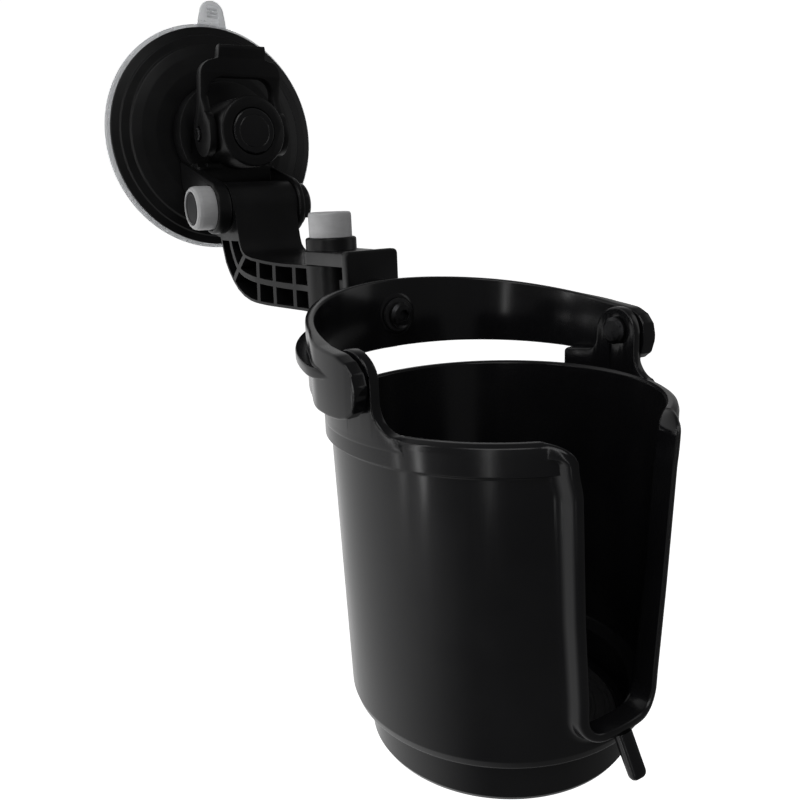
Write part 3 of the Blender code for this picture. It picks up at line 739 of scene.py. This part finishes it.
def gimbal_ring():
    """Half a ring, tall at the back, with thick rounded ends and a fin along its outside."""
    last = math.acos(-10.28 / 50.0)
    turns = []
    count = 300
    for i in range(count + 1):
        t = i / count
        turns.append(-last * math.cos(math.pi * t) if t < 0.12 or t > 0.88 else None)
    edge = last * math.cos(math.pi * 0.12)
    middle = [i for i, turn in enumerate(turns) if turn is None]
    for k, i in enumerate(middle):
        turns[i] = -edge + 2 * edge * (k + 1) / (len(middle) + 1)

    def y_of(angle):
        return 50.0 * math.cos(angle)

    def outer(angle):
        return 52.5 - (52.5 - RING_OUT) * ease(y_of(angle), 5.0, 17.0)

    band = skin(
        "gimbal_ring_skin",
        ring_sections(
            lambda a: RING_IN,
            outer,
            lambda a: between(RING_LOW, y_of(a)),
            lambda a: between(RING_TOP, y_of(a)),
            turns,
            0.75,
        ),
    )
    fins = []
    for side in (-1, 1):
        start = math.acos(-3 / 52.0)
        end = math.acos(47 / 52.0)
        steps = [side * (start + (end - start) * i / 70) for i in range(71)]

        def reach(angle):
            y = 52.0 * math.cos(angle)
            full = 53.9 * ease(y, -3.5, 9.0) + 52.2 * (1 - ease(y, -3.5, 9.0))
            return full - (53.9 - RING_OUT) * ease(y, 38.0, 47.0)

        line = [(-3, 12.7), (8, 13.2), (24, 14.9), (40, 16.7), (47, 17.4)]

        def middle_z(angle):
            return between(line, 52.0 * math.cos(angle))

        def half(angle):
            return 0.35 + 0.95 * ease(52.0 * math.cos(angle), -3.0, 6.0)

        fins.append(
            skin(
                "ring_fin",
                ring_sections(
                    lambda a: RING_IN + 1.2,
                    reach,
                    lambda a: middle_z(a) - half(a),
                    lambda a: middle_z(a) + half(a),
                    steps,
                    0.55,
                ),
            )
        )
    seat = [(3.2, -143.4), (6.6, -143.4), (6.6, -145.3, 0.25), (5.9, -145.55, 0.2), (3.2, -145.55)]
    boss = revolve("ring_bolt_seat", "Y", (0, 0, RING_Z), fillet(seat), 72, closed=True)
    join(band, *fins, boss)
    smooth(band, 58)
    show(band, "gloss_black_abs", "ring", "gimbal_ring")


# ---- Cup -------------------------------------------------------------------------------
def wall_in(z):
    return 43.9 + (z + 0.6) * 2.0 / 80.4


def wall_out(z):
    return 45.7 + (z + 8.3) * 1.9 / 74.7


def lip_top(z):
    return 50.0 + z * 2.1 / 84.0


def slot_path():
    """The slot's edge in front view, down the +X side and up the other, from the rim's top edge."""
    half = []
    for i in range(9):
        half.append((34.0 - 1.4 * i, 0.0))
    half += circle(21.9, -5.6, 5.6, 15, 90, 172)[1:]
    start_x, start_z = half[-1]
    end_z = -66.0
    count = 46
    for i in range(1, count + 1):
        t = i / count
        z = start_z + (end_z - start_z) * t
        straight = between([(-66.0, 11.6), (-44.0, 13.4), (-24.0, 14.5), (-9.4, 15.3)], z)
        half.append((straight + (start_x - 15.3) * (1 - ease(-z, -start_z, -start_z + 8.0)), z))
    half += circle(6.2, SLOT_FLOOR + SLOT_CORNER, SLOT_CORNER, 12, -4, -90)
    half += [(4.4, SLOT_FLOOR), (2.2, SLOT_FLOOR)]
    return half + [(0.0, SLOT_FLOOR)] + [(-x, z) for x, z in half[::-1]]


def path_normals(path):
    """For each point of the path, the unit direction into the wall."""
    made = []
    for i in range(len(path)):
        ax, az = path[max(i - 1, 0)]
        bx, bz = path[min(i + 1, len(path) - 1)]
        dx, dz = bx - ax, bz - az
        length = math.hypot(dx, dz)
        made.append((-dz / length, dx / length))
    return made


def cup_lip():
    """The raised lip swept along the slot's edge, fading into the rim at both ends.

    A section's points are (distance into the wall from the edge, radius from the cup's axis).
    """
    path = slot_path()
    normals = path_normals(path)
    sections = []
    for (x, z), (nx, nz) in zip(path, normals):
        rise = ease(23.0 - abs(x), 0.0, 7.5)
        inner = wall_in(z)
        top = lip_top(z)
        wall = wall_out(min(z, -8.3))
        low = [
            (0.55, inner - 0.01),
            (0.16, inner + 0.16),
            (0.0, inner + 0.55),
            (0.0, top - 0.95),
            (0.10, top - 0.5),
            (0.32, top - 0.18),
            (0.75, top),
            (1.5, top),
            (2.1, top - 0.16),
            (2.5, top - 0.55),
            (2.72, top - 1.1),
            (2.85, wall + 1.5),
            (3.1, wall + 0.8),
            (3.6, wall + 0.3),
            (4.4, wall + 0.03),
            (5.2, wall - 0.4),
            (5.2, inner + 0.6),
        ]
        rim = [
            (0.6, inner + 0.3),
            (0.35, inner + 0.4),
            (0.12, 44.5),
            (0.10, 44.9),
            (0.15, 45.6),
            (0.45, 46.2),
            (0.9, 46.7),
            (1.6, 47.0),
            (2.3, 47.15),
            (3.0, 47.15),
            (3.6, 47.15),
            (4.2, 47.15),
            (4.8, 47.15),
            (5.4, 47.1),
            (6.0, 46.8),
            (6.2, 46.0),
            (5.2, 45.0),
        ]
        section = []
        for (s0, r0), (s1, r1) in zip(rim, low):
            s = s0 + (s1 - s0) * rise
            r = r0 + (r1 - r0) * rise
            px, pz = x + nx * s, z + nz * s
            section.append((px, CUP_Y - math.sqrt(r * r - px * px), RIM_Z + pz))
        sections.append(section)
    return skin("cup_lip", sections)


def cup_body():
    outer = fillet(
        [
            (0.0, -96.8),
            (35.0, -96.8, 1.2),
            (36.6, -95.0, 0.8),
            (36.9, -84.4, 0.6),
            (41.2, -83.2, 1.6),
            (43.9, -0.6, 0.4),
            (44.5, 0.0, 0.4),
            (45.7, 0.0, 0.9),
            (46.9, -0.8, 0.8),
            (47.3, -2.2, 1.2),
            (47.3, -7.4, 0.35),
            (45.7, -8.3, 0.5),
            (43.8, -83.0, 1.6),
            (43.0, -85.4, 1.4),
            (41.4, -86.3, 0.8),
            (38.9, -86.9, 0.5),
            (38.4, -97.6, 0.8),
            (37.4, -99.2, 0.9),
            (35.2, -99.4, 0.6),
            (34.0, -98.9, 0.5),
            (0.0, -98.9),
        ],
        7,
    )
    body = revolve("cup_body_skin", "Z", (0, CUP_Y, RIM_Z), outer, 224)
    path = slot_path()
    normals = path_normals(path)
    grown = [(x + nx * 0.9, RIM_Z + z + nz * 0.9) for (x, z), (nx, nz) in zip(path, normals)]
    opening = [(x, z) for x, z in grown if abs(x) < 22.5 or z < RIM_Z - 1.0]
    opening = [(opening[0][0], RIM_Z + 8)] + opening + [(opening[-1][0], RIM_Z + 8)]
    cut(body, prism("slot", "Y", opening, CUP_Y - 80, CUP_Y - 15))
    tidy(body, 0.005, 0.02)
    shell = [(44.6, -5), (47.4, -5), (47.4, 24), (44.6, 24)]
    ears = revolve("ears", "Z", (0, CUP_Y, RIM_Z), shell, 224, closed=True)
    outline = circle(-2.0, 11.6, 7.55, 44, 180, 0) + circle(9.1, 9.0, 3.5, 10, 180, 266)
    outline += circle(15.0, 3.8, 1.4, 8, 90, 0) + [(16.4, -3.6), (-18.5, -3.6), (-17.4, -0.6)]
    outline += circle(-16.6, 7.0, 7.0, 14, 272, 360)
    keep(ears, prism("ears_outline", "X", [(y + CUP_Y, z + RIM_Z) for y, z in outline], -70, 70))
    cut(ears, rod("ear_holes", "X", CUP_PIVOT_Y, CUP_PIVOT_Z, 2.4, -60, 60, 48))
    tidy(ears, 0.12, 0.02)
    bevel(ears, 0.55, 3, 50)
    peg = cup_peg()
    join(body, ears, cup_lip(), peg)
    for number, angle in enumerate((45, 135, 225, 315)):
        x = 22 * math.cos(math.radians(angle))
        y = CUP_Y + 22 * math.sin(math.radians(angle))
        dimple = revolve(
            f"drain_{number}",
            "Z",
            (x, y, RIM_Z),
            fillet([(2.5, -99.1), (3.6, -99.1, 0.2), (3.6, -98.6), (2.5, -98.6)]),
            40,
            closed=True,
        )
        join(body, dimple)
    smooth(body, 34)
    show(body, "gloss_black_abs", "cup", "cup_body")


def cup_peg():
    """The small round-ended peg under the slot."""
    top = (-46.9, -79.0, 2.0)
    tip = (-51.7, -87.4, 1.8)
    dy, dz = tip[0] - top[0], tip[1] - top[1]
    length = math.hypot(dy, dz)
    dy, dz = dy / length, dz / length
    sections = []
    steps = 34
    for i in range(steps + 1):
        t = i / steps
        along = t * (length + tip[2])
        radius = top[2] + (tip[2] - top[2]) * min(1.0, along / length)
        scale = 1.0
        if along > length:
            scale = math.sqrt(max(0.0, 1 - ((along - length) / tip[2]) ** 2))
        scale = max(scale, 0.02)
        cy, cz = top[0] + dy * along, top[1] + dz * along
        section = []
        for k in range(28):
            angle = 2 * math.pi * k / 28
            c, s = math.cos(angle), math.sin(angle)
            wide = 2.4 * math.copysign(abs(c) ** 0.75, c)
            deep = radius * math.copysign(abs(s) ** 0.75, s)
            section.append(
                (
                    wide * (0.35 + 0.65 * scale) if scale < 1 else wide,
                    CUP_Y + cy - dz * deep * scale,
                    RIM_Z + cz + dy * deep * scale,
                )
            )
        sections.append(section)
    return skin("cup_peg", sections)


def cup_mat():
    """A thin mat with raised rings."""
    profile = [(0, -96.4), (33.6, -96.4, 0.3), (34.0, -95.6, 0.4), (33.4, -95.2, 0.2)]
    radius = 31.5
    while radius > 6:
        profile += [
            (radius + 0.8, -95.2, 0.2),
            (radius + 0.5, -94.8, 0.2),
            (radius - 0.5, -94.8, 0.2),
            (radius - 0.8, -95.2, 0.2),
        ]
        radius -= 4.2
    profile += [(0, -95.2)]
    mat = revolve("cup_mat_skin", "Z", (0, CUP_Y, RIM_Z), fillet(profile, 3), 120)
    smooth(mat)
    show(mat, "black_rubber", "cup", "cup_mat")


# ---- Camera, light and floor -------------------------------------------------------------
def camera():
    position = Vector((-0.1409, -0.3541, -0.0257))
    forward = Vector((0.533, 0.810, -0.247)).normalized()
    right = forward.cross(Vector((0, 0, 1))).normalized()
    up = right.cross(forward)
    roll = math.radians(-2.3)
    x_axis = right * math.cos(roll) + up * math.sin(roll)
    y_axis = up * math.cos(roll) - right * math.sin(roll)
    data = bpy.data.cameras.new("photo_camera")
    data.sensor_width = 36.0
    data.lens = 36.6
    data.clip_start = 0.01
    obj = link(bpy.data.objects.new("photo_camera", data))
    obj.matrix_world = Matrix(
        (
            (x_axis.x, y_axis.x, -forward.x, position.x),
            (x_axis.y, y_axis.y, -forward.y, position.y),
            (x_axis.z, y_axis.z, -forward.z, position.z),
            (0, 0, 0, 1),
        )
    )
    bpy.context.scene.camera = obj


def softbox(name, position, target, width, height, radiance):
    """A rectangular soft light. The power follows from how bright its face is."""
    data = bpy.data.lights.new(name, "AREA")
    data.shape = "RECTANGLE"
    data.size = width
    data.size_y = height
    data.energy = radiance * math.pi * width * height
    obj = link(bpy.data.objects.new(name, data))
    obj.location = position
    aim = Vector(target) - Vector(position)
    obj.rotation_euler = aim.to_track_quat("-Z", "Y").to_euler()
    obj.visible_camera = False
    return obj


def studio():
    """Pale surroundings that are bright behind the object and dim in front."""
    world = bpy.data.worlds.new("studio")
    bpy.context.scene.world = world
    world.use_nodes = True
    tree = world.node_tree
    background = tree.nodes["Background"]
    direction = tree.nodes.new("ShaderNodeTexCoord")
    dot = tree.nodes.new("ShaderNodeVectorMath")
    dot.operation = "DOT_PRODUCT"
    dot.inputs[1].default_value = (-0.30, 0.93, -0.22)
    spread = tree.nodes.new("ShaderNodeMapRange")
    spread.interpolation_type = "SMOOTHSTEP"
    spread.inputs["From Min"].default_value = -0.15
    spread.inputs["From Max"].default_value = 0.95
    spread.inputs["To Min"].default_value = 0.10
    spread.inputs["To Max"].default_value = 0.8
    tree.links.new(direction.outputs["Generated"], dot.inputs[0])
    tree.links.new(dot.outputs["Value"], spread.inputs["Value"])
    tree.links.new(spread.outputs["Result"], background.inputs["Strength"])
    background.inputs["Color"].default_value = (1, 1, 1, 1)
    softbox("strip_left", (-0.78, -0.195, 0.02), (0, -0.1885, -0.12), 0.05, 1.1, 4.5)
    softbox("strip_rear", (-0.774, 0.017, 0.02), (0, -0.1885, -0.12), 0.025, 1.1, 3.5)
    softbox("strip_front", (-0.575, -0.745, 0.02), (0, -0.1885, -0.12), 0.06, 1.1, 2.0)
    softbox("key", (-0.45, -0.745, 0.85), (0, -0.115, -0.06), 0.7, 0.7, 1.6)
    softbox("fill_right", (0.9, -0.495, 0.25), (0, -0.115, -0.08), 0.5, 0.9, 0.45)


def floor():
    """A pale floor that turns up into a pale wall all round."""
    ground, wall, top = -560.0, 2300.0, 700.0
    cove, dome = 500.0, 1500.0
    profile = [(0.0, ground), (600.0, ground)]
    for degrees in range(0, 91, 6):
        c, s = math.cos(math.radians(degrees)), math.sin(math.radians(degrees))
        profile.append((wall - cove + cove * s, ground + cove - cove * c))
    for degrees in range(0, 90, 6):
        c, s = math.cos(math.radians(degrees)), math.sin(math.radians(degrees))
        profile.append((wall * c, top + dome * s))
    profile.append((0.0, top + dome))
    obj = revolve("pale_floor", "Z", (0, 0, 0), profile, 96)
    for polygon in obj.data.polygons:
        polygon.use_smooth = True
        polygon.flip()
    material = bpy.data.materials.new("pale_floor")
    material.use_nodes = True
    shader = material.node_tree.nodes["Principled BSDF"]
    shader.inputs["Base Color"].default_value = (0.9, 0.9, 0.9, 1)
    shader.inputs["Roughness"].default_value = 0.9
    shader.inputs["Emission Color"].default_value = (1, 1, 1, 1)
    shader.inputs["Emission Strength"].default_value = 0.9
    obj.data.materials.append(material)
    obj.visible_glossy = False
    obj.visible_diffuse = False
    obj.visible_shadow = False


# ---- Assembly ----------------------------------------------------------------------------
suction_pad()
cover_dish()
boss_cap()
tilt_button()
tilt_end_cap()
swing_button()
gimbal_ring()
cup_body()
cup_mat()

REFINED = {
    "hub_block": ("satin_black_abs", "head", 0.3),
    "cam_lever": ("satin_black_abs", "lever", 0.3),
    "j_arm": ("satin_black_abs", "arm", 0.0),
    "link_bracket": ("satin_black_abs", "bracket", 0.3),
    "lever_pin": ("black_oxide", "lever", 0.0),
    "ring_bolt": ("black_oxide", "bracket", 0.0),
    "cup_pin_left": ("black_oxide", "cup", 0.0),
    "cup_pin_right": ("black_oxide", "cup", 0.0),
}
for node, (slot, body, width) in REFINED.items():
    show(refined(node, width), slot, body, node)

CARRIED = {
    "pad_stem": "dark_nylon",
    "tilt_lock_gear": "dark_nylon",
    "swing_lock_gear": "dark_nylon",
    "tilt_spring": "zinc_steel",
    "swing_spring": "zinc_steel",
    "tilt_axle": "zinc_steel",
    "swing_axle": "zinc_steel",
    "ring_insert": "brass_insert",
    "ring_washer": "dark_nylon",
}
for node, slot in CARRIED.items():
    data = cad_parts[node].data
    data.materials.clear()
    data.materials.append(MATERIALS[slot])

camera()
studio()
floor()
bpy.context.scene.view_settings.view_transform = "Standard"
